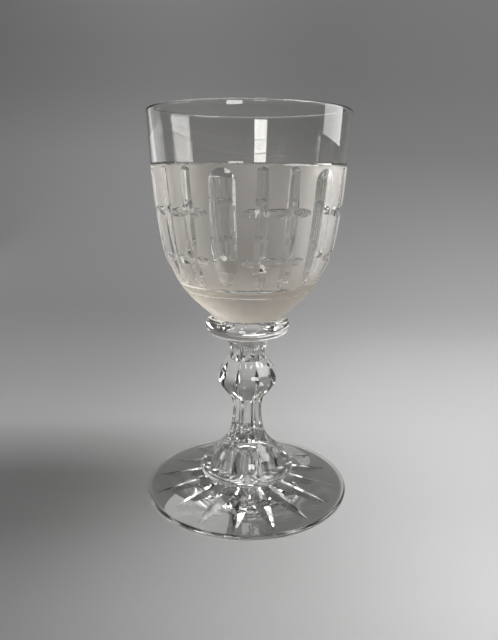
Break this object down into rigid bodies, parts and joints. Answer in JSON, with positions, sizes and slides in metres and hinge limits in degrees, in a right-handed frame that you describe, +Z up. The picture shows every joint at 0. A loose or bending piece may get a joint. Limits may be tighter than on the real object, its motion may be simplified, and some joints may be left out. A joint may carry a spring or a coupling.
{
  "type": "wine goblet",
  "caption": "Stemmed wine goblet of clear glass with a frosted, wheel-cut bowl, a knopped and faceted stem and a star-cut foot.",
  "frame": {"origin": "centre of the foot's underside, on the surface that the goblet stands on", "axes": "+Z up along the goblet's axis, from the foot to the rim; -Y is the front"},
  "size_m": [0.09, 0.09, 0.162],
  "materials": {
    "clear_glass": "fire-polished and wheel-polished clear flint glass",
    "frosted_glass": "clear glass with a satin frosted outside, polished cuts and a polished band under the rim"
  },
  "bodies": {
    "root": {"foot": "clear_glass", "foot_collar": "clear_glass", "leg": "clear_glass", "knop": "clear_glass", "neck": "clear_glass", "bowl_collar": "clear_glass", "bowl": "frosted_glass"}
  },
  "joints": []
}
